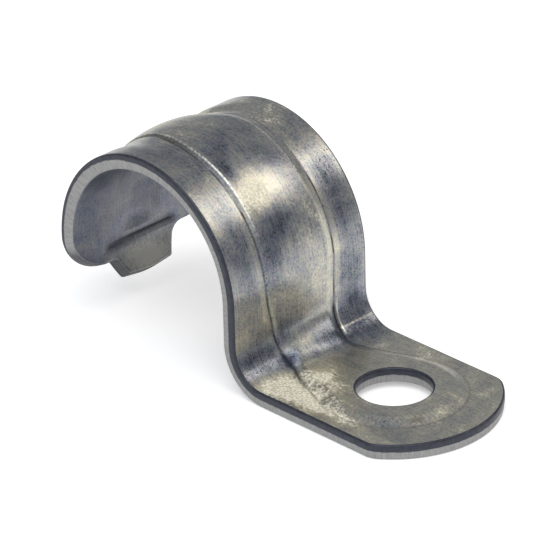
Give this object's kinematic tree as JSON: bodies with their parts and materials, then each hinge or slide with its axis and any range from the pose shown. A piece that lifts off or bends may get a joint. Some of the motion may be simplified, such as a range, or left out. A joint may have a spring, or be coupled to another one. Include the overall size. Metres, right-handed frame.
{
  "type": "conduit strap",
  "caption": "Pressed sheet-steel strap whose open hook goes over a round conduit, with a stiffening rib and a flat foot with a raised boss and a screw hole.",
  "frame": {"origin": "on the held conduit's centreline, at the middle of the strap's width", "axes": "+X from the hook towards the foot and its screw hole, +Y along the conduit, +Z away from the wall"},
  "size_m": [0.0414, 0.0154, 0.0187],
  "materials": {
    "zinc_plated_steel": "bright zinc plating gone dull, with draw marks along the rib and bare sheared edges"
  },
  "bodies": {
    "root": {"strap": "zinc_plated_steel"}
  },
  "joints": []
}
